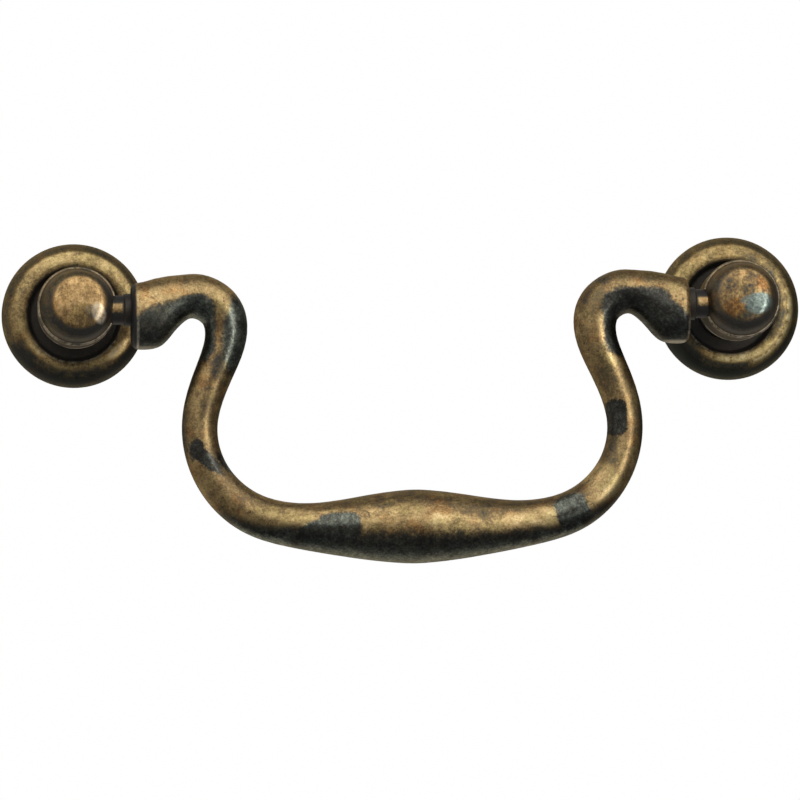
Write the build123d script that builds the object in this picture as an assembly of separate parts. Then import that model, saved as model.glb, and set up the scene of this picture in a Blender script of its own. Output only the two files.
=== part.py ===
from build123d import *
import math
import os

# Drop pull for a drawer or cabinet door: a swan-neck bail that swings between two knob posts on round rosettes.
# Millimetres. Origin midway between the two fixing screws, on the drawer face.
# +X along the pull, +Y into the drawer front, +Z up. The pull stands out towards -Y.
# "d" below is the distance out from the drawer face, so y = -d.

# ---------------------------------------------------------------- driving dimensions
hole_spacing = 96.0          # between the two fixing screws

rosette_r = 10.5             # round back plate
ring_crest_r = 7.6           # moulded ring: radius and height of its crest
ring_crest_d = 2.9
ring_outwards = ((3.0, 30), (1.2, 45))               # arcs from the crest outwards: radius, tilt at its end
ring_edge_tilt = 70                                  # the last one runs to the edge
ring_inwards = ((2.0, 15), (0.4, 75))                # and from the crest to the wall of the sunk floor
ring_wall_foot_arc = 0.4
floor_d = 1.0                # sunk floor
spigot_hole_r = 3.15

spigot_r = 3.05              # foot of the post: centres the rosette
spigot_back_d = 0.1
foot_r = 4.7
foot_d = 2.1
neck_r = 3.1
head_rear_d = 8.2
head_rear_r = 5.53
head_waist_r = 5.33
rim_r = 5.68
rim_d = 15.0
rim_ledge_r = 5.38           # narrow ledge of the rim; the button rises from it
button_side_r = 4.97         # top of the button's nearly straight side
button_side_d = 16.43
button_corner_arc = 2.4
button_face_tilt = math.radians(8)

tap_r = 1.65                 # M4 tapping size
tap_depth_d = 9.4

pivot_d = 14.0               # swing axis of the bail
pivot_z = -0.55              # it sits a little low in the heads
pin_r = 2.10
pin_hole_r = 2.19
pin_end_x = 50.2
pin_hole_end_x = 50.7
collar_r = 2.35
collar_end_x = 41.35
swan_end_x = 40.3            # flat end faces of the bail
swan_edge_r = 1.05           # rounding of the end faces
seam_angle = 25              # each side of the very back

# Bail stations from the middle of the grip to the end:
# x, z, direction of the centreline in degrees, width in the plane of the bail, depth front to back
stations = [
    (0.00, -32.25, 0.0, 10.62, 10.62),
    (3.00, -32.27, -0.5, 10.27, 10.30),
    (6.00, -32.30, -0.5, 9.56, 9.58),
    (9.00, -32.32, 0.2, 8.64, 8.66),
    (12.00, -32.27, 2.2, 7.70, 7.75),
    (15.00, -32.10, 5.1, 6.90, 6.98),
    (17.97, -31.72, 9.5, 6.38, 6.46),
    (20.90, -31.05, 17.1, 6.11, 6.16),
    (23.64, -29.91, 28.6, 5.92, 5.94),
    (26.08, -28.19, 41.5, 5.69, 5.70),
    (28.10, -25.97, 53.9, 5.44, 5.46),
    (29.59, -23.37, 66.6, 5.23, 5.28),
    (30.47, -20.52, 79.2, 5.13, 5.20),
    (30.70, -17.55, 92.0, 5.13, 5.20),
    (30.27, -14.60, 104.0, 5.23, 5.26),
    (29.34, -11.73, 111.1, 5.36, 5.36),
    (28.17, -8.94, 113.5, 5.53, 5.50),
    (27.24, -6.64, 108.9, 5.74, 5.68),
    (26.75, -4.71, 98.6, 5.98, 5.84),
    (26.67, -3.19, 87.2, 6.17, 5.96),
    (26.94, -1.75, 70.9, 6.33, 6.08),
    (27.64, -0.49, 50.8, 6.42, 6.20),
    (29.18, 0.76, 27.7, 6.43, 6.34),
    (31.00, 1.33, 7.0, 6.42, 6.50),
    (32.80, 1.15, -8.5, 6.57, 6.70),
    (34.28, 0.50, -9.4, 7.63, 6.97),
    (35.33, -0.19, -8.9, 8.64, 7.19),
    (36.47, -0.91, -6.4, 9.64, 7.41),
    (37.60, -1.30, -4.0, 9.82, 7.55),
    (swan_end_x - swan_edge_r, -1.46, 0.0, 9.62, 7.62),
]
# the rounded edge of the end face, as a quarter circle of shrinking sections
for turn in (22, 42, 58, 70, 80, 87):
    inset = swan_edge_r * (1 - math.cos(math.radians(turn)))
    x = swan_end_x - swan_edge_r + swan_edge_r * math.sin(math.radians(turn))
    stations.append((x, -1.46 - 0.02 * turn / 87, 0.0, 9.62 - 2 * inset, 7.62 - 2 * inset))


def section(x, z, angle, width, depth):
    """Elliptical section, split twice near the back so that the loft's seams run where they aren't seen."""
    a = math.radians(angle)
    plane = Plane(origin=(x, -pivot_d, z), x_dir=(-math.sin(a), 0, math.cos(a)), z_dir=(math.cos(a), 0, math.sin(a)))
    front = EllipticalCenterArc((0, 0), width / 2, depth / 2, -90 + seam_angle, arc_size=360 - 2 * seam_angle)
    back = EllipticalCenterArc((0, 0), width / 2, depth / 2, 270 - seam_angle, arc_size=2 * seam_angle)
    return plane * make_face(Wire([front, back]))


def x_cylinder(r, x0, x1, z, chamfer_end=0.0):
    """Cylinder along X at the pivot's distance from the drawer face, chamfered at its x1 end."""
    lo, hi = min(x0, x1), max(x0, x1)
    body = Plane(origin=(lo, -pivot_d, z), z_dir=(1, 0, 0)) * Cylinder(r, hi - lo, align=(Align.CENTER, Align.CENTER, Align.MIN))
    if chamfer_end:
        end = body.edges().filter_by(GeomType.CIRCLE).sort_by(Axis.X)
        body = chamfer(end[-1] if x1 > x0 else end[0], chamfer_end)
    return body


def turned(profile):
    """Solid of revolution about Y from a closed list of (r, d) points and arcs, set at the origin."""
    return revolve(make_face(Wire(profile)), Axis.Y)


def p(r, d):
    return (r, -d, 0)


# ---------------------------------------------------------------- bail
left_half = [section(-x, z, -a, w, t) for x, z, a, w, t in reversed(stations[1:])]
right_half = [section(x, z, a, w, t) for x, z, a, w, t in stations]
bail = loft(left_half + right_half)
for side in (-1, 1):
    bail = bail + x_cylinder(collar_r, side * (swan_end_x - 1.0), side * collar_end_x, pivot_z, 0.2)
    bail = bail + x_cylinder(pin_r, side * (collar_end_x - 1.0), side * pin_end_x, pivot_z, 0.4)

# ---------------------------------------------------------------- rosette
def follow_arcs(start, arcs, way):
    """Edges of arcs that run on from a flat crest, outwards (way 1) or inwards (way -1), and the point they reach."""
    edges, at, tilt = [], start, 0.0
    for arc_r, end in arcs:
        a, b = math.radians(tilt), math.radians(end)
        points = [(at[0] + way * arc_r * (math.sin(t) - math.sin(a)), at[1] + arc_r * (math.cos(t) - math.cos(a))) for t in (a, (a + b) / 2, b)]
        edges.append(ThreePointArc(*[p(*q) for q in points]))
        at, tilt = points[-1], end
    return edges, at


crest = (ring_crest_r, ring_crest_d)
shoulder_r = follow_arcs(crest, ring_outwards, 1)[1][0]
skirt_arc = (rosette_r - shoulder_r) / (math.sin(math.radians(ring_edge_tilt)) - math.sin(math.radians(ring_outwards[-1][1])))
outer_arcs, edge_top = follow_arcs(crest, ring_outwards + ((skirt_arc, ring_edge_tilt),), 1)
inner_arcs, wall_top = follow_arcs(crest, ring_inwards, -1)
wall_tilt = math.radians(ring_inwards[-1][1])
wall_meets_floor_r = wall_top[0] - (wall_top[1] - floor_d) / math.tan(wall_tilt)
wall_trim = ring_wall_foot_arc * math.tan(wall_tilt / 2)
wall_foot = (wall_meets_floor_r + wall_trim * math.cos(wall_tilt), floor_d + wall_trim * math.sin(wall_tilt))
foot_mid = (
    wall_meets_floor_r - wall_trim + ring_wall_foot_arc * math.sin(wall_tilt / 2),
    floor_d + ring_wall_foot_arc * (1 - math.cos(wall_tilt / 2)),
)
rosette_profile = [
    Line(p(spigot_hole_r, 0), p(rosette_r, 0)),
    Line(p(rosette_r, 0), p(*edge_top)),
    *outer_arcs,
    *inner_arcs,
    Line(p(*wall_top), p(*wall_foot)),
    ThreePointArc(p(*wall_foot), p(*foot_mid), p(wall_meets_floor_r - wall_trim, floor_d)),
    Line(p(wall_meets_floor_r - wall_trim, floor_d), p(spigot_hole_r, floor_d)),
    Line(p(spigot_hole_r, floor_d), p(spigot_hole_r, 0)),
]
rosette = turned(rosette_profile)

# ---------------------------------------------------------------- post
button_side_tilt = math.atan((button_side_d - rim_d) / (rim_ledge_r - button_side_r))
button_centre = (button_side_r - button_corner_arc * math.sin(button_side_tilt), button_side_d - button_corner_arc * math.cos(button_side_tilt))
button_mid_tilt = (button_side_tilt + button_face_tilt) / 2
button_face_r = button_centre[0] + button_corner_arc * math.sin(button_face_tilt)
button_face_d = button_centre[1] + button_corner_arc * math.cos(button_face_tilt)
post_profile = [
    Line(p(0, tap_depth_d + 0.95), p(tap_r, tap_depth_d)),
    Line(p(tap_r, tap_depth_d), p(tap_r, spigot_back_d + 0.35)),
    Line(p(tap_r, spigot_back_d + 0.35), p(tap_r + 0.35, spigot_back_d)),
    Line(p(tap_r + 0.35, spigot_back_d), p(spigot_r - 0.2, spigot_back_d)),
    Line(p(spigot_r - 0.2, spigot_back_d), p(spigot_r, spigot_back_d + 0.2)),
    Line(p(spigot_r, spigot_back_d + 0.2), p(spigot_r, floor_d)),
    Line(p(spigot_r, floor_d), p(foot_r, floor_d)),
    Line(p(foot_r, floor_d), p(foot_r, foot_d - 0.35)),
    ThreePointArc(p(foot_r, foot_d - 0.35), p(foot_r - 0.1, foot_d - 0.1), p(foot_r - 0.35, foot_d)),
    ThreePointArc(p(foot_r - 0.35, foot_d), p(neck_r + 0.33, foot_d + 0.42), p(neck_r, foot_d + 1.5)),
    Line(p(neck_r, foot_d + 1.5), p(neck_r, head_rear_d - 1.9)),
    ThreePointArc(p(neck_r, head_rear_d - 1.9), p(neck_r + 0.6, head_rear_d - 0.6), p(head_rear_r - 0.4, head_rear_d)),
    ThreePointArc(p(head_rear_r - 0.4, head_rear_d), p(head_rear_r - 0.08, head_rear_d + 0.14), p(head_rear_r, head_rear_d + 0.45)),
    ThreePointArc(p(head_rear_r, head_rear_d + 0.45), p(head_waist_r, (head_rear_d + rim_d) / 2), p(rim_r - 0.03, rim_d - 0.5)),
    ThreePointArc(p(rim_r - 0.03, rim_d - 0.5), p(rim_r - 0.045, rim_d - 0.1), p(rim_r - 0.2, rim_d)),
    Line(p(rim_r - 0.2, rim_d), p(rim_ledge_r, rim_d)),
    Line(p(rim_ledge_r, rim_d), p(button_side_r, button_side_d)),
    ThreePointArc(
        p(button_side_r, button_side_d),
        p(button_centre[0] + button_corner_arc * math.sin(button_mid_tilt), button_centre[1] + button_corner_arc * math.cos(button_mid_tilt)),
        p(button_face_r, button_face_d),
    ),
    Line(p(button_face_r, button_face_d), p(button_face_r, button_face_d + 0.6)),
    Line(p(button_face_r, button_face_d + 0.6), p(0, button_face_d + 0.6)),
    Line(p(0, button_face_d + 0.6), p(0, tap_depth_d + 0.95)),
]
# the button's face is a shallow dome, tangent to the rounded corner
face_dome_r = button_face_r / math.sin(button_face_tilt)
front_d = button_face_d + face_dome_r * (1 - math.cos(button_face_tilt))
post_blank = turned(post_profile) & Pos(0, face_dome_r - front_d, 0) * Sphere(face_dome_r)


def post(side):
    x = side * hole_spacing / 2
    hole = x_cylinder(pin_hole_r, side * (hole_spacing / 2 - 12), side * pin_hole_end_x, pivot_z)
    return Pos(x, 0, 0) * post_blank - hole


# ---------------------------------------------------------------- write
pieces = {
    "bail": bail,
    "left_post": post(-1),
    "right_post": post(1),
    "left_rosette": Pos(-hole_spacing / 2, 0, 0) * rosette,
    "right_rosette": Pos(hole_spacing / 2, 0, 0) * rosette,
}
os.makedirs("parts", exist_ok=True)
print("front of the posts", round(front_d, 2), "mm out")
for name, shape in pieces.items():
    solids = shape.solids()
    print(name, len(solids), "solid, volume", round(shape.volume, 2), "valid", shape.is_valid)
    export_step(solids[0] if len(solids) == 1 else Compound(children=list(solids)), f"parts/{name}.step")
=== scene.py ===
import bpy
import math
from mathutils import Matrix, Vector

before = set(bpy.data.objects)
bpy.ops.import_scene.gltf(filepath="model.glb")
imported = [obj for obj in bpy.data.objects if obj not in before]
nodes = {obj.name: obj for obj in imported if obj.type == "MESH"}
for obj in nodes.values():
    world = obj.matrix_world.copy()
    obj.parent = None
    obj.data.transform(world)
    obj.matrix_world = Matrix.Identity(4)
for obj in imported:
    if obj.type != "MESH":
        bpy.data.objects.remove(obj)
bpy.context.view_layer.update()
MM = 0.001


# ---------------------------------------------------------------- camera
cam_data = bpy.data.cameras.new("camera")
cam = bpy.data.objects.new("camera", cam_data)
bpy.context.scene.collection.objects.link(cam)
bpy.context.scene.camera = cam
cam_at = Vector((-79.2, -882.8, -86.0)) * MM
look_at = Vector((-0.541, 0.0, -12.835)) * MM
roll = -0.0199
forward = (look_at - cam_at).normalized()
right0 = forward.cross(Vector((0, 0, 1))).normalized()
up0 = right0.cross(forward)
right = right0 * math.cos(roll) + up0 * math.sin(roll)
up = up0 * math.cos(roll) - right0 * math.sin(roll)
rot = Matrix((right, up, -forward)).transposed()
cam.matrix_world = Matrix.Translation(cam_at) @ rot.to_4x4()
cam_data.sensor_width = 36.0
cam_data.lens = 6084.0 / 800.0 * 36.0
cam_data.clip_start = 0.05
cam_data.clip_end = 20.0


# ---------------------------------------------------------------- stage and light
centre = Vector((0.0, -0.012, -0.014))


def softbox(name, azimuth, elevation, distance, size_x, size_y, radiance, colour):
    """A rectangular soft light seen from the pull at this azimuth (to the right of the front) and elevation."""
    data = bpy.data.lights.new(name, "AREA")
    data.shape = "RECTANGLE"
    data.size, data.size_y = size_x, size_y
    data.energy = math.pi * size_x * size_y * radiance
    data.color = colour
    ob = bpy.data.objects.new(name, data)
    bpy.context.scene.collection.objects.link(ob)
    a, e = math.radians(azimuth), math.radians(elevation)
    away = Vector((math.sin(a) * math.cos(e), -math.cos(a) * math.cos(e), math.sin(e)))
    ob.location = centre + away * distance
    ob.rotation_mode = "QUATERNION"
    ob.rotation_quaternion = away.to_track_quat("Z", "Y")
    ob.visible_camera = False
    return ob


softbox("key_softbox", 4, 45, 0.55, 1.25, 0.72, 1.02, (1.0, 0.98, 0.96))
softbox("side_strip", 35, 2, 0.55, 0.09, 0.42, 5.6, (1.0, 0.99, 0.97))

floor_mesh = bpy.data.meshes.new("floor")
floor_mesh.from_pydata([(-3, -3, 0), (3, -3, 0), (3, 3, 0), (-3, 3, 0)], [], [(0, 1, 2, 3)])
floor = bpy.data.objects.new("floor", floor_mesh)
floor.location = (0, 0, -0.16)
floor.visible_glossy = False
bpy.context.scene.collection.objects.link(floor)
floor_mat = bpy.data.materials.new("pale_floor")
floor_mat.use_nodes = True
fb = floor_mat.node_tree.nodes["Principled BSDF"]
fb.inputs["Base Color"].default_value = (0.86, 0.86, 0.85, 1)
fb.inputs["Roughness"].default_value = 0.9
floor_mesh.materials.append(floor_mat)


# ---------------------------------------------------------------- node helpers
class Tree:
    """Short names for building a node tree. Sockets and plain numbers mix freely as inputs."""

    def __init__(self, tree):
        self.t = tree

    def node(self, kind, **props):
        n = self.t.nodes.new(kind)
        for k, v in props.items():
            setattr(n, k, v)
        return n

    def put(self, socket, value):
        if isinstance(value, bpy.types.NodeSocket):
            self.t.links.new(value, socket)
        elif value is not None:
            socket.default_value = value

    def m(self, op, a, b=None, c=None, clamp=False):
        n = self.node("ShaderNodeMath", operation=op, use_clamp=clamp)
        for i, v in enumerate((a, b, c)):
            if v is not None:
                self.put(n.inputs[i], v)
        return n.outputs[0]

    def add(self, *v):
        out = v[0]
        for x in v[1:]:
            out = self.m("ADD", out, x)
        return out

    def mul(self, *v):
        out = v[0]
        for x in v[1:]:
            out = self.m("MULTIPLY", out, x)
        return out

    def sub(self, a, b):
        return self.m("SUBTRACT", a, b)

    def inv(self, a):
        return self.m("SUBTRACT", 1.0, a)

    def top(self, a, b):
        return self.m("MAXIMUM", a, b)

    def step(self, v, a, b, lo=0.0, hi=1.0, smooth=True):
        """lo at a and below, hi at b and above; a may be larger than b."""
        n = self.node("ShaderNodeMapRange", interpolation_type="SMOOTHSTEP" if smooth else "LINEAR")
        if a > b:
            a, b, lo, hi = b, a, hi, lo
        self.put(n.inputs["Value"], v)
        n.inputs["From Min"].default_value = a
        n.inputs["From Max"].default_value = b
        n.inputs["To Min"].default_value = lo
        n.inputs["To Max"].default_value = hi
        return n.outputs["Result"]

    def band(self, v, centre_at, half, soft):
        """1 within half of centre_at, fading to 0 over soft."""
        d = self.m("ABSOLUTE", self.sub(v, centre_at))
        return self.step(d, half + soft, half)

    def noise(self, vec, scale, detail=2.0, rough=0.5, distort=0.0):
        n = self.node("ShaderNodeTexNoise", noise_dimensions="3D")
        self.put(n.inputs["Vector"], vec)
        n.inputs["Scale"].default_value = scale
        n.inputs["Detail"].default_value = detail
        n.inputs["Roughness"].default_value = rough
        n.inputs["Distortion"].default_value = distort
        return n.outputs["Fac"]

    def centred(self, value, gain):
        """Noise around 0, times gain."""
        return self.mul(self.sub(value, 0.5), gain)

    def shift(self, vec, offset, scale=(1, 1, 1)):
        n = self.node("ShaderNodeMapping", vector_type="POINT")
        self.put(n.inputs["Vector"], vec)
        n.inputs["Location"].default_value = offset
        n.inputs["Scale"].default_value = scale
        return n.outputs[0]

    def mix(self, fac, a, b):
        n = self.node("ShaderNodeMix", data_type="RGBA", clamp_factor=True)
        self.put(n.inputs[0], fac)
        for i, v in ((6, a), (7, b)):
            self.put(n.inputs[i], (*v, 1) if isinstance(v, tuple) else v)
        return n.outputs[2]

    def tint(self, colour, factor):
        """Colour times a number."""
        n = self.node("ShaderNodeVectorMath", operation="SCALE")
        self.put(n.inputs[0], colour)
        self.put(n.inputs["Scale"], factor)
        return n.outputs[0]

    def ramp(self, fac, stops):
        n = self.node("ShaderNodeValToRGB")
        e = n.color_ramp.elements
        while len(e) < len(stops):
            e.new(0.5)
        for el, (at, col) in zip(e, stops):
            el.position = at
            el.color = (*col, 1)
        self.put(n.inputs[0], fac)
        return n.outputs[0]

    def spot(self, vec, at, half, turn=0.0, wobble=None, soft=0.12, square=False):
        """1 inside an ellipsoid of half sizes (along, out, across) set at a place in mm, turned in the XZ plane."""
        n = self.node("ShaderNodeMapping", vector_type="TEXTURE")
        self.put(n.inputs["Vector"], vec)
        n.inputs["Location"].default_value = at
        n.inputs["Rotation"].default_value = (0, -math.radians(turn), 0)
        n.inputs["Scale"].default_value = half
        if square:
            s = self.node("ShaderNodeSeparateXYZ")
            self.put(s.inputs[0], n.outputs[0])
            q = self.add(*[self.m("POWER", self.m("ABSOLUTE", s.outputs[i]), 4.0) for i in range(3)])
            q = self.m("POWER", q, 0.25)
        else:
            ln = self.node("ShaderNodeVectorMath", operation="LENGTH")
            self.put(ln.inputs[0], n.outputs[0])
            q = ln.outputs["Value"]
        if wobble is not None:
            q = self.add(q, wobble)
        return self.step(q, 1 + soft, 1 - soft)


world = bpy.data.worlds.new("studio")
bpy.context.scene.world = world
world.use_nodes = True
world.node_tree.nodes.clear()
W = Tree(world.node_tree)
w_dir = W.node("ShaderNodeSeparateXYZ")
W.put(w_dir.inputs[0], W.node("ShaderNodeTexCoord").outputs["Generated"])
w_x, w_y, w_z = w_dir.outputs
w_side = W.m("ABSOLUTE", w_x)
w_tall = W.m("ABSOLUTE", w_z)
room = W.add(
    W.mul(W.step(w_y, 0.0, 0.8), W.step(w_tall, 0.12, 0.5), W.step(w_side, 0.95, 0.5), W.step(w_z, -0.3, 0.3, 0.66, 0.46)),   # pale floor and ceiling behind
    W.mul(W.add(W.step(w_x, 0.35, -0.35, 0.0, 0.13), W.step(w_x, -0.55, -0.95, 0.0, 0.16)), W.step(w_z, -0.95, -0.15)),   # open room on the left
    W.mul(W.step(w_z, -0.15, 0.25, 0.0, 0.06), W.step(w_y, 0.3, -0.3)),
)
w_env = W.node("ShaderNodeBackground")
W.put(w_env.inputs["Color"], W.mix(W.step(room, 0.0, 0.12), (0.93, 0.98, 1.05), (1.0, 0.99, 0.97)))  # the dark side is cool
W.put(w_env.inputs["Strength"], W.add(room, 0.125))
w_bg = W.node("ShaderNodeBackground")
w_bg.inputs["Color"].default_value = (0.95, 0.95, 0.95, 1)
w_bg.inputs["Strength"].default_value = 1.05
w_mix = W.node("ShaderNodeMixShader")
W.put(w_mix.inputs["Fac"], W.node("ShaderNodeLightPath").outputs["Is Camera Ray"])
W.put(w_mix.inputs[1], w_env.outputs[0])
W.put(w_mix.inputs[2], w_bg.outputs[0])
W.put(W.node("ShaderNodeOutputWorld").inputs[0], w_mix.outputs[0])

bpy.context.scene.view_settings.view_transform = "Standard"


# ---------------------------------------------------------------- antique brass
BRASS = [
    (0.00, (0.062, 0.061, 0.056)),
    (0.20, (0.104, 0.091, 0.068)),
    (0.45, (0.235, 0.163, 0.080)),
    (0.66, (0.465, 0.330, 0.152)),
    (0.84, (0.690, 0.512, 0.252)),
    (1.00, (0.880, 0.710, 0.430)),
]


SKIN = [(0.1, (0.040, 0.039, 0.035)), (0.3, (0.066, 0.064, 0.056)), (0.5, (0.104, 0.114, 0.096)), (0.75, (0.202, 0.218, 0.176)), (0.95, (0.37, 0.37, 0.28))]
PALE_SKIN = [(0.2, (0.110, 0.130, 0.118)), (0.5, (0.235, 0.285, 0.250)), (0.75, (0.350, 0.415, 0.355)), (0.95, (0.54, 0.60, 0.50))]


class Brass(Tree):
    """One piece's brass. Its masks are in the piece's own millimetres, so the pattern rides with the piece."""

    def __init__(self, name):
        self.mat = bpy.data.materials.new(name)
        self.mat.use_nodes = True
        super().__init__(self.mat.node_tree)
        self.bsdf = self.t.nodes["Principled BSDF"]
        self.bsdf.inputs["Specular Tint"].default_value = (0.74, 0.67, 0.56, 1)
        n = self.node("ShaderNodeVectorMath", operation="SCALE")
        self.put(n.inputs[0], self.node("ShaderNodeTexCoord").outputs["Object"])
        n.inputs["Scale"].default_value = 1000.0
        self.P = n.outputs[0]
        s = self.node("ShaderNodeSeparateXYZ")
        self.put(s.inputs[0], self.P)
        self.x, self.y, self.z = s.outputs
        self.ax = self.m("ABSOLUTE", self.x)
        self.big = self.noise(self.P, 0.21, 2.0, 0.5, 0.6)
        self.mid = self.noise(self.P, 0.85, 4.0, 0.62, 0.3)
        self.fine = self.noise(self.P, 2.9, 3.0, 0.6)
        self.grain = self.noise(self.P, 5.6, 2.0, 0.55)
        self.hue = self.noise(self.shift(self.P, (31, 7, 13)), 0.33, 3.0, 0.6)
        self.ragged = self.add(self.centred(self.mid, 0.55), self.centred(self.fine, 0.45))

    def finish(self, rub_and_painted_light, patina, edge=0.0, grime_and_shade=0.0, marks=None, marks_depth=0.001, pit=1.0, skin_colours=SKIN, skin_level=0.5, extra_warm=None, least_olive=0.0):
        """Tone mask 0 dark to 1 bright, rubbed wear together with painted highlights and painted shade; patina 1 under
        the glossy black skin; edge 1 on worn arrises, drawn as a pale painted highlight line; dark mask 1 on blackened
        recesses and on painted shade.
        """
        tone = self.add(rub_and_painted_light, self.centred(self.big, 0.36), self.centred(self.mid, 0.56), self.centred(self.fine, 0.56), self.centred(self.grain, 0.42))
        pits = self.step(self.noise(self.shift(self.P, (5, 3, 9)), 1.35, 3.0, 0.62), 0.58, 0.70)
        pits = self.mul(pits, self.step(self.noise(self.shift(self.P, (2, 8, 4)), 0.17, 1.0), 0.42, 0.60), pit)
        tone = self.m("SUBTRACT", tone, self.mul(pits, 0.26), clamp=True)
        colour = self.ramp(tone, BRASS)
        warm = self.step(self.hue, 0.50, 0.70, 0.0, 0.60 - 0.6 * least_olive)
        if extra_warm is not None:
            warm = self.top(warm, extra_warm)
        olive = self.step(self.hue, 0.50, 0.32, least_olive, 0.60 + 0.4 * least_olive)
        n = self.node("ShaderNodeMix", data_type="RGBA", blend_type="MULTIPLY")
        self.put(n.inputs[0], warm)
        self.put(n.inputs[6], colour)
        n.inputs[7].default_value = (1.10, 0.82, 0.64, 1)
        colour = n.outputs[2]
        n = self.node("ShaderNodeMix", data_type="RGBA", blend_type="MULTIPLY")
        self.put(n.inputs[0], olive)
        self.put(n.inputs[6], colour)
        n.inputs[7].default_value = (0.88, 0.95, 0.84, 1)
        colour = n.outputs[2]
        skin = self.ramp(
            self.add(skin_level, self.centred(self.mid, 1.1), self.centred(self.fine, 1.1), self.centred(self.grain, 0.5)),
            skin_colours,
        )
        colour = self.mix(patina, colour, skin)
        colour = self.mix(grime_and_shade, colour, (0.022, 0.023, 0.025))
        colour = self.mix(self.mul(edge, self.step(self.fine, 0.28, 0.6, 0.45, 1.0)), colour, (0.78, 0.68, 0.52))
        self.put(self.bsdf.inputs["Base Color"], colour)
        self.put(self.bsdf.inputs["Metallic"], self.sub(1.0, self.mul(grime_and_shade, 0.55)))
        rough = self.add(0.44, self.mul(tone, -0.08), self.centred(self.fine, 0.14), self.centred(self.mid, 0.12))
        rough = self.add(rough, self.mul(patina, -0.10), self.mul(grime_and_shade, 0.08))
        self.put(self.bsdf.inputs["Roughness"], rough)
        height = self.add(self.centred(self.big, 0.06), self.centred(self.mid, 0.011), self.centred(self.fine, 0.006), self.centred(self.grain, 0.0032), self.mul(pits, -0.006), self.mul(patina, 0.004))
        if marks is not None:
            height = self.add(height, self.mul(marks, marks_depth))
        bump = self.node("ShaderNodeBump")
        bump.inputs["Strength"].default_value = 1.0
        bump.inputs["Distance"].default_value = MM
        self.put(bump.inputs["Height"], height)
        self.put(self.bsdf.inputs["Normal"], bump.outputs[0])
        return self.mat

    def union(self, masks):
        out = masks[0]
        for m in masks[1:]:
            out = self.top(out, m)
        return out


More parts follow.
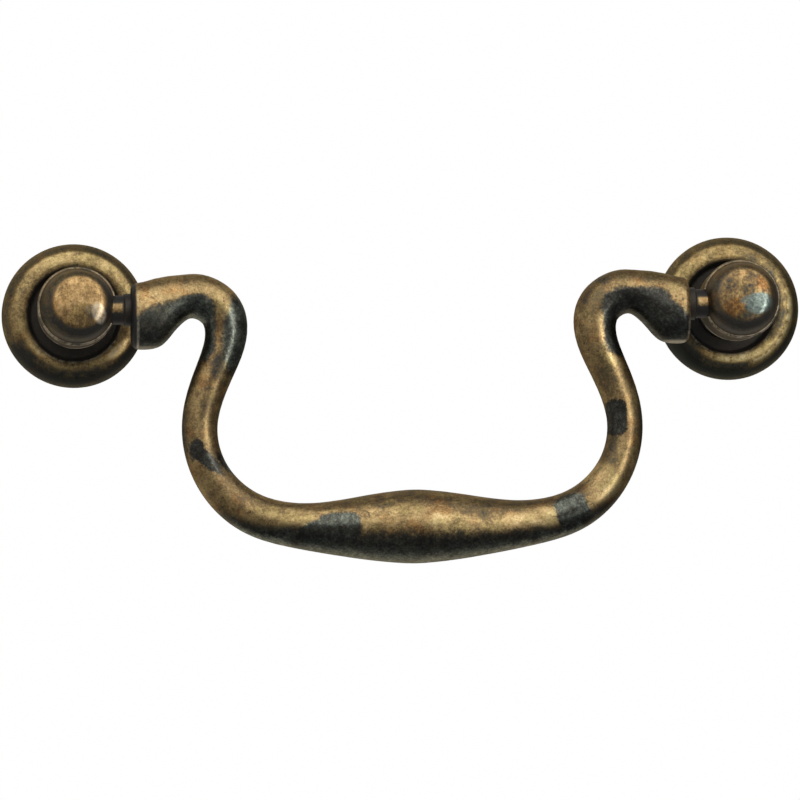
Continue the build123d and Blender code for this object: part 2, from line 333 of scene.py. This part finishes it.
def bail_brass():
    b = Brass("bail_brass")
    wob = b.ragged
    wavy = b.add(b.z, b.centred(b.mid, 2.2), b.centred(b.fine, 0.9))      # a height with a ragged edge
    hump = b.mul(b.step(b.ax, 23.5, 27.0), b.step(b.z, -5.0, 1.0))
    grip = b.mul(b.step(b.ax, 27.0, 17.0), b.step(b.z, -24.0, -28.0))
    # the hollow under each swan neck and the underside of each head are kept dark: patina in the hollow together with
    # painted shade on the undersides, reaching further on the left head
    slant = b.add(b.z, b.centred(b.mid, 0.9), b.mul(b.top(b.sub(-32.3, b.x), 0.0), 0.45))
    hollow = b.top(
        b.mul(b.spot(b.P, (-32.9, -14.0, -3.3), (4.5, 9.0, 4.9), wobble=b.mul(wob, 0.30), soft=0.09, square=True), b.step(slant, 1.65, 0.85)),
        b.spot(b.P, (32.6, -14.0, -3.3), (5.0, 9.0, 4.9), wobble=b.mul(wob, 0.26), soft=0.09, square=True),
    )
    along = b.top(b.sub(b.ax, 34.0), 0.0)
    droop = b.mul(along, along, b.step(b.x, -5.0, 5.0, 0.070, 0.105))
    ripple = b.add(b.z, b.centred(b.mid, 0.9), b.centred(b.fine, 0.6))
    bx, bz = b.sub(b.ax, 20.0), b.add(b.z, 20.5)
    from_bend = b.add(b.m("SQRT", b.add(b.mul(bx, bx), b.mul(bz, bz))), b.centred(b.mid, 1.0), b.centred(b.fine, 0.5))
    on_bend = b.step(b.ax, 16.0, 19.0)
    under = b.add(ripple, b.step(b.x, -2.0, 6.0, 0.0, 0.25), b.step(b.x, 9.0, 17.0, 0.0, -0.75))
    # painted shade: the grip's lower side and the outer lower bends are darkened and get a dark patina film; the bottom
    # rim gets lighter skin as a painted floor reflection
    low_grip_shade = b.mul(b.step(b.ax, 20.5, 18.0), b.step(under, -32.3, -34.2))
    film_grip_shade = b.mul(b.step(b.ax, 20.5, 18.0), b.step(under, -32.9, -34.5))
    half_grip = b.step(b.ax, 17.0, 1.0, 3.1, 5.3)
    bottom_reflection = b.m("DIVIDE", b.add(b.z, 32.3, b.centred(b.mid, 0.8)), half_grip)
    bottom_reflection = b.top(b.mul(b.inv(on_bend), b.step(bottom_reflection, -0.50, -0.80)), b.mul(on_bend, b.step(from_bend, 12.4, 13.2)))
    low_bend_shade = b.mul(b.step(b.ax, 15.5, 18.0), b.step(b.add(from_bend, b.mul(b.step(b.x, -5.0, 5.0), b.step(b.ax, 19.0, 23.0, -0.60, 0.35))), 11.2, 12.5), b.step(b.add(b.z, b.step(b.x, -5.0, 5.0, 0.0, -2.0)), -28.5, -31.5))
    # painted shade on the inner sides of the bends
    bend_in_shade = b.mul(b.step(from_bend, 9.9, 9.0), on_bend, b.step(b.z, -18.0, -22.0))
    head_under_shade = b.mul(b.step(b.ax, 32.0, 34.0), b.step(b.add(ripple, droop, b.step(b.x, -5.0, 5.0, 0.40, -0.25)), 1.35, 0.15))
    rub_and_painted_light = b.add(
        0.53, b.mul(hump, b.step(b.x, -5.0, 5.0, 0.12, 0.07)), b.mul(grip, 0.08), b.mul(b.top(hollow, head_under_shade), b.step(b.x, -5.0, 5.0, -0.50, -0.55)),
        b.mul(b.top(low_grip_shade, low_bend_shade), -0.36), b.step(b.y, -13.0, -9.5, 0.0, -0.10),
        b.mul(bend_in_shade, b.step(b.x, -5.0, 5.0, -0.12, -0.20)),
        # painted highlight on the bend right of the grip patch
        b.mul(b.spot(b.P, (26.6, -17.0, -25.9), (4.4, 4.0, 2.4), -52, b.mul(wob, 0.8), 0.3), 0.29),
        b.mul(b.spot(b.P, (28.2, -17.0, -6.2), (4.6, 4.0, 0.9), 108, b.mul(wob, 0.6), 0.5), 0.19),     # painted highlight along the ridge of the right neck
        b.mul(b.spot(b.P, (26.6, -15.0, 0.8), (2.6, 6.0, 3.2), 0, b.mul(wob, 0.8), 0.4), -0.21),         # darker shoulder on the right
        # painted shade dimming the highlight on the left leg
        b.mul(b.spot(b.P, (-29.8, -17.0, -14.3), (1.2, 3.0, 2.3), 0, b.mul(wob, 0.8), 0.5), -0.16),
        b.mul(b.spot(b.P, (-32.2, -14.0, -10.9), (4.2, 6.0, 0.95), 69, b.mul(wob, 0.7), 0.5), -0.32),
        b.mul(b.spot(b.P, (-28.1, -17.0, -9.0), (1.9, 4.0, 0.95), 69, b.mul(wob, 0.7), 0.5), -0.34),
        b.mul(b.spot(b.P, (27.9, -16.5, -11.3), (1.3, 3.0, 2.6), 0, b.mul(wob, 0.8), 0.5), -0.10),
        b.mul(b.spot(b.P, (8.0, -18.5, -31.4), (3.4, 4.0, 1.7), 0, b.mul(wob, 0.8), 0.5), -0.11),
        b.mul(b.spot(b.P, (16.8, -17.0, -31.8), (5.0, 4.0, 1.5), 8, b.mul(wob, 0.6), 0.4), 0.16),
    )
    # darker along the top of the grip and of the humps
    rub_and_painted_light = b.add(rub_and_painted_light, b.mul(b.inv(on_bend), b.step(b.add(b.z, b.step(b.x, -2.0, 8.0, 0.0, 1.0), b.centred(b.mid, 1.6)), -30.3, -28.8), -0.20))
    rub_and_painted_light = b.add(rub_and_painted_light, b.mul(hump, b.step(b.add(b.z, b.centred(b.mid, 0.8)), 2.1, 2.9), -0.11))
    rub_and_painted_light = b.add(rub_and_painted_light, b.mul(hump, b.step(b.mid, 0.50, 0.62), b.step(b.z, 2.3, 3.0), -0.22))
    # lengthwise rubbing on the grip
    streak = b.noise(b.shift(b.P, (0, 0, 0), (0.35, 1.0, 1.0)), 1.3, 3.0, 0.6)
    rub_and_painted_light = b.add(rub_and_painted_light, b.mul(b.centred(streak, 0.6), grip))
    spots = [
        b.mul(b.spot(b.P, (-11.1, -16.5, -32.4), (3.05, 5.0, 2.08), 2, b.mul(wob, 0.38), 0.10, square=True), b.step(b.x, -7.2, -7.5)),
        b.spot(b.P, (-13.6, -16.0, -32.9), (4.1, 5.0, 1.85), 12, b.mul(wob, 0.6), 0.14),
        b.spot(b.P, (22.6, -14.5, -30.7), (2.5, 5.0, 2.55), 24, b.mul(wob, 0.7), 0.10, square=True),
        b.spot(b.P, (29.25, -15.9, -17.05), (1.50, 3.4, 2.55), 0, b.mul(wob, 0.7), 0.10, square=True),
        b.spot(b.P, (-30.1, -15.6, -22.2), (3.3, 4.0, 1.05), -44, wob, 0.20),
        b.spot(b.P, (-31.3, -15.6, -20.9), (1.05, 4.0, 1.55), -10, b.mul(wob, 0.8), 0.20),
        b.spot(b.P, (-27.2, -15.6, -22.9), (1.9, 4.0, 0.62), -52, wob, 0.20),
        b.spot(b.P, (-25.45, -15.4, -4.6), (5.9, 5.0, 1.95), 84, b.mul(wob, 0.8), 0.22),
        b.spot(b.P, (6.0, -9.6, -31.0), (5.5, 3.0, 3.2), 8, wob, 0.15),
        b.spot(b.P, (-24.8, -11.2, -28.6), (3.4, 3.0, 2.4), -38, wob, 0.18),
        b.spot(b.P, (27.4, -11.4, -7.6), (3.2, 3.0, 2.4), 70, wob, 0.18),
    ]
    patina = b.union(spots)
    # dark patina film under the grip, the lower bends and the heads: painted shade, partly patina in the hollows
    shade_film = b.union([b.mul(b.top(film_grip_shade, low_bend_shade), 0.80), b.mul(hollow, b.step(b.x, -36.0, -33.8, 0.35, 0.84)), b.mul(head_under_shade, b.step(b.x, -5.0, 5.0, 0.35, 0.80))])
    neck_spot = b.mul(b.step(b.x, -23.0, -24.0), b.step(b.z, -13.0, -10.5))
    # patina tone: darker skin on the leg patches and the left neck patch; painted shade on the grip's underside and the
    # lower bends; lighter skin along the bottom rim as a painted floor reflection
    skin_level = b.add(
        0.50, b.mul(b.step(b.ax, 26.2, 27.6), b.step(b.z, -12.0, -14.0), -0.24), b.mul(b.inv(on_bend), b.step(b.z, -31.6, -32.7), -0.20),
        b.mul(b.step(b.x, 5.0, 8.0), on_bend, b.step(from_bend, 11.0, 11.8), -0.20), b.mul(b.step(b.x, 5.0, -5.0), low_bend_shade, -0.18), b.mul(bottom_reflection, 0.30),
        b.mul(neck_spot, -0.24),
    )
    # painted shade: darker skin in the hollows and under the heads
    skin_level = b.add(skin_level, b.mul(b.top(hollow, head_under_shade), b.inv(neck_spot), b.step(b.z, -3.0, 1.0, -0.24, -0.36)))
    patina = b.top(patina, shade_film)
    patina = b.mul(patina, b.step(b.fine, 0.30, 0.42, 0.55, 1.0))
    # black end faces, collars and pins, painted as shade and reaching further in on the left end; the pin is left as
    # rubbed brass in its middle
    end_at = b.add(b.ax, b.centred(b.fine, 0.30), b.mul(b.step(b.x, -5.0, 5.0), -0.62))
    ends = b.step(end_at, 39.45, 39.80)
    collar = b.mul(b.band(b.ax, 40.9, 0.35, 0.2), b.step(b.y, -14.0, -15.6))
    worn_pin = b.mul(b.band(b.ax, 42.5, 0.75, 0.45), b.band(b.add(b.z, b.centred(b.fine, 0.5)), -0.38, 0.42, 0.42), b.step(b.y, -14.6, -15.3))
    grime_and_shade = b.mul(ends, b.sub(0.97, b.mul(collar, 0.06)), b.inv(worn_pin))
    rub_and_painted_light = b.add(rub_and_painted_light, b.mul(ends, b.inv(worn_pin), -0.20))
    # pale lines on the arris at each end and along the underside of each head: worn edges drawn as painted highlight
    # lines, stronger towards the bottom
    edge = b.mul(b.band(b.add(b.ax, b.step(b.x, -5.0, 5.0, 0.0, -0.66)), 39.42, 0.06, 0.20), b.step(b.z, -1.0, -4.0, 0.15, 1.0), b.step(b.mid, 0.40, 0.54, 0.25, 1.0))
    under_highlight_line = b.mul(b.step(b.add(b.z, b.centred(b.fine, 0.3)), -5.75, -6.1), b.step(b.ax, 35.5, 37.5), b.inv(ends), b.step(b.x, -5.0, 5.0, 0.25, 0.45))
    return b.finish(rub_and_painted_light, patina, b.top(b.mul(edge, 0.65), under_highlight_line), grime_and_shade=grime_and_shade, skin_level=skin_level)


def turned_coordinates(b, lift=0.0, aside=0.0):
    """Distance from the post's axis and out from the drawer face, in mm."""
    ax = b.sub(b.sub(b.ax, 48.0), aside)
    az = b.sub(b.z, lift)
    r = b.m("SQRT", b.add(b.mul(ax, ax), b.mul(az, az)))
    d = b.mul(b.y, -1.0)
    return r, d


def post_brass(side):
    b = Brass("post_brass_" + side)
    wob = b.ragged
    r, d = turned_coordinates(b)
    r_cap, d = turned_coordinates(b, 0.25, 0.15 if side == "right" else -0.3)
    cap = b.mul(b.step(d, 15.6, 16.2), b.step(b.add(r_cap, b.centred(b.mid, 0.5), b.centred(b.fine, 0.25)), 4.15, 3.55))
    flank = b.mul(b.step(d, 15.0, 15.2), b.inv(cap))
    rim = b.mul(b.band(r, 5.55, 0.10, 0.10), b.step(d, 14.65, 14.85))
    rear = b.mul(b.step(r, 5.30, 5.46), b.band(d, 8.60, 0.15, 0.2))
    # painted light on the post: flank darker, darker still towards the base, lighter on top; cap darker towards the
    # bottom
    rub_and_painted_light = b.add(0.34, b.mul(cap, b.add(0.28, b.centred(b.mid, 0.3))), b.mul(flank, -0.12), b.step(d, 7.8, 6.0, 0.0, -0.12))
    rub_and_painted_light = b.add(rub_and_painted_light, b.mul(flank, b.step(b.z, 1.5, 4.0, 0.0, 0.10)), b.mul(cap, b.step(b.z, 0.5, -3.5, 0.05, -0.22)))
    lune_highlight = 0.0
    skin_colours = SKIN
    streak = b.noise(b.shift(b.P, (0, 0, 0), (1.9, 1.0, 0.6)), 1.1, 3.0, 0.6)
    rub_and_painted_light = b.add(rub_and_painted_light, b.mul(b.centred(streak, 0.5), cap))
    warm = b.mul(cap, 0.35)
    if side == "right":
        patina = b.spot(b.P, (50.05, -18.0, -0.95), (2.05, 3.0, 1.50), 8, b.mul(wob, 0.7), 0.16)
        patina = b.top(patina, b.mul(b.spot(b.P, (48.3, -18.0, -0.45), (1.0, 2.0, 0.55), 20, wob, 0.3), 0.8))
        rub_and_painted_light = b.add(rub_and_painted_light, b.mul(b.spot(b.P, (50.95, -18.0, 2.1), (0.9, 3.0, 0.8), 0, wob, 0.4), 0.12))
        rub_and_painted_light = b.add(rub_and_painted_light, b.mul(cap, -0.12), b.mul(cap, b.centred(b.mid, 0.4)))
        warm = b.mul(cap, b.union([b.mul(b.spot(b.P, (46.5, -18.0, -1.6), (2.3, 3.0, 1.3), 30, wob, 0.5), 1.0), b.spot(b.P, (50.9, -18.0, 2.0), (1.2, 3.0, 1.2), 0, wob, 0.5), b.mul(cap, 0.12)]))
        rub_and_painted_light = b.add(rub_and_painted_light, b.mul(b.spot(b.P, (46.3, -18.0, -1.7), (2.0, 3.0, 1.2), 30, wob, 0.5), 0.06), b.mul(b.spot(b.P, (49.6, -18.0, 2.2), (1.6, 3.0, 0.9), -20, wob, 0.5), -0.16))
        rub_and_painted_light = b.add(rub_and_painted_light, b.mul(b.spot(b.P, (46.9, -18.0, 1.5), (2.2, 3.0, 1.5), -20, wob, 0.5), -0.12))
        skin_colours = PALE_SKIN
    else:
        patina = b.mul(b.spot(b.P, (-46.2, -18.0, -1.1), (0.9, 2.0, 1.0), 20, b.mul(wob, 1.6), 0.35), b.step(b.fine, 0.40, 0.55), 0.8)
        # painted highlight: a pale crescent on the left cap
        lune_highlight = b.spot(b.P, (-45.05, -17.6, -1.25), (0.95, 3.0, 1.50), 12, b.mul(wob, 0.8), 0.25)
        rub_and_painted_light = b.add(rub_and_painted_light, b.mul(lune_highlight, 0.34))
    # painted shade: darker on the lower flank, below the button, under the cap and on the neck behind the head
    grime_and_shade = b.mul(flank, b.step(b.add(b.mul(b.z, -0.4), b.mul(b.x, 0.45 if side == "left" else 0.10), b.mul(wob, 1.5), (21.6 if side == "left" else -4.8)), -0.8, 1.2), 0.55)
    grime_and_shade = b.top(grime_and_shade, b.mul(b.step(d, 14.6, 14.2), b.step(b.z, 1.0, -2.0), 0.6))
    grime_and_shade = b.top(grime_and_shade, b.mul(b.band(b.add(r_cap, b.centred(b.mid, 0.6)), 4.3, 0.35, 0.40), b.step(d, 15.5, 16.0), b.step(b.z, -1.2, -2.8), 0.80))
    grime_and_shade = b.top(grime_and_shade, b.mul(b.step(d, 8.3, 7.8), 0.9))
    # rim and rear arrises: wear drawn as painted highlight lines, stronger towards the bottom
    edge = b.mul(b.top(rim, b.mul(rear, 0.8)), b.step(b.mid, 0.38, 0.56, 0.2, 1.0), b.step(b.z, 2.5, -1.5, 0.30, 1.0))
    edge = b.top(edge, b.mul(lune_highlight, b.step(b.fine, 0.34, 0.50, 0.5, 1.0)))
    lathe = b.noise(b.shift(b.P, (0, 0, 0), (0.02, 1.0, 0.02)), 5.0, 2.0, 0.5)
    return b.finish(rub_and_painted_light, patina, b.mul(edge, 0.7), grime_and_shade=grime_and_shade, marks=b.mul(lathe, b.inv(cap)), marks_depth=0.002, skin_colours=skin_colours, extra_warm=warm)


def rosette_brass(side):
    b = Brass("rosette_brass_" + side)
    wob = b.ragged
    r, d = turned_coordinates(b)
    front = b.step(d, 0.05, 0.3)
    shaky_r = b.add(r, b.centred(b.mid, 0.7), b.centred(b.fine, 0.3))
    crest = b.mul(b.step(r, 7.0, 7.5), b.step(shaky_r, 9.7, 8.9))
    # the recess round the post is kept black: blackening of the antique finish together with painted shade
    recess = b.mul(b.step(r, 7.10, 6.75), b.step(d, 0.3, 0.8))
    low_shade_r = b.add(shaky_r, b.step(b.x, 49.0, 52.0, 0.0, -0.7)) if side == "right" else shaky_r
    # painted shade on the lower outer ring
    low_shade = b.mul(b.step(b.add(b.z, b.centred(b.mid, 3.0)), -2.5, -6.0), b.step(low_shade_r, 7.9, 8.6))
    # outer flank darker; the outermost edge lighter towards the bottom as a painted reflection
    rub_and_painted_light = b.add(0.42, b.mul(crest, b.add(0.15, b.centred(b.mid, 0.35))), b.mul(low_shade, -0.34), b.step(r, 9.2, 9.7, 0.0, -0.10), b.mul(b.step(r, 9.9, 10.3), b.step(b.z, -2.0, 2.0, 0.16, 0.06)))
    if side == "right":
        # painted light on the right ring: its highlight on the right side moved outward, darker at the top right, a
        # painted highlight on the lower inner slope
        rub_and_painted_light = b.add(rub_and_painted_light, b.mul(b.step(b.x, 49.0, 52.0), b.band(shaky_r, 7.5, 0.35, 0.4), -0.17), b.mul(b.step(b.x, 49.0, 52.0), b.step(b.z, 3.5, 1.0), b.sub(b.mul(b.band(shaky_r, 9.05, 0.25, 0.35), 0.34), b.mul(b.band(shaky_r, 8.15, 0.3, 0.4), 0.09))))
        rub_and_painted_light = b.add(rub_and_painted_light, b.mul(crest, b.step(b.x, 49.5, 52.0), b.step(b.z, 2.0, 4.0), -0.10))
        rub_and_painted_light = b.add(rub_and_painted_light, b.mul(b.band(shaky_r, 7.45, 0.45, 0.5), b.step(b.z, -4.0, -6.0), b.step(b.x, 44.5, 47.0), 0.34))
        patina = 0.0
        # painted shade on the lower left of the right ring
        rub_and_painted_light = b.add(rub_and_painted_light, b.mul(b.spot(b.P, (41.4, -1.5, -5.8), (3.6, 3.0, 3.0), 48, wob, 0.4), -0.30))
    else:
        # painted highlights on the lower inner slope of the left ring; crest darker on the left and lighter on top as
        # painted light
        rub_and_painted_light = b.add(rub_and_painted_light, b.mul(b.spot(b.P, (-53.6, -2.5, -4.4), (2.2, 3.0, 0.95), -48, wob, 0.4), 0.30))
        rub_and_painted_light = b.add(rub_and_painted_light, b.mul(b.spot(b.P, (-41.6, -2.5, -5.2), (2.2, 3.0, 0.75), 40, wob, 0.35), 0.42))
        rub_and_painted_light = b.add(rub_and_painted_light, b.mul(crest, b.step(b.x, -52.0, -55.0), -0.10), b.mul(crest, b.step(b.z, 5.0, 7.5), 0.10))
        patina = 0.0
    ring_dist = b.node("ShaderNodeCombineXYZ")
    b.put(ring_dist.inputs[0], r)
    b.put(ring_dist.inputs[1], b.mul(d, 0.2))
    lathe = b.noise(ring_dist.outputs[0], 5.5, 3.0, 0.6)
    # painted highlight line on the inner lip, stronger towards the bottom
    lip_highlight = b.mul(b.band(r, 7.05, 0.08, 0.14), b.step(d, 2.3, 2.6))
    edge = b.mul(lip_highlight, b.step(b.mid, 0.40, 0.55), b.step(b.z, -2.0, -4.0, 0.2, 1.0))
    return b.finish(rub_and_painted_light, patina, b.mul(edge, 0.45), grime_and_shade=b.mul(recess, 0.92), marks=b.mul(lathe, b.step(d, 0.6, 0.1, 0.35, 1.0)), marks_depth=0.003, least_olive=0.55 if side == "right" else 0.30)


looks = {
    "bail": bail_brass(),
    "left_post": post_brass("left"),
    "right_post": post_brass("right"),
    "left_rosette": rosette_brass("left"),
    "right_rosette": rosette_brass("right"),
}
for name, ob in nodes.items():
    for slot in ob.material_slots:
        slot.material = looks[name]
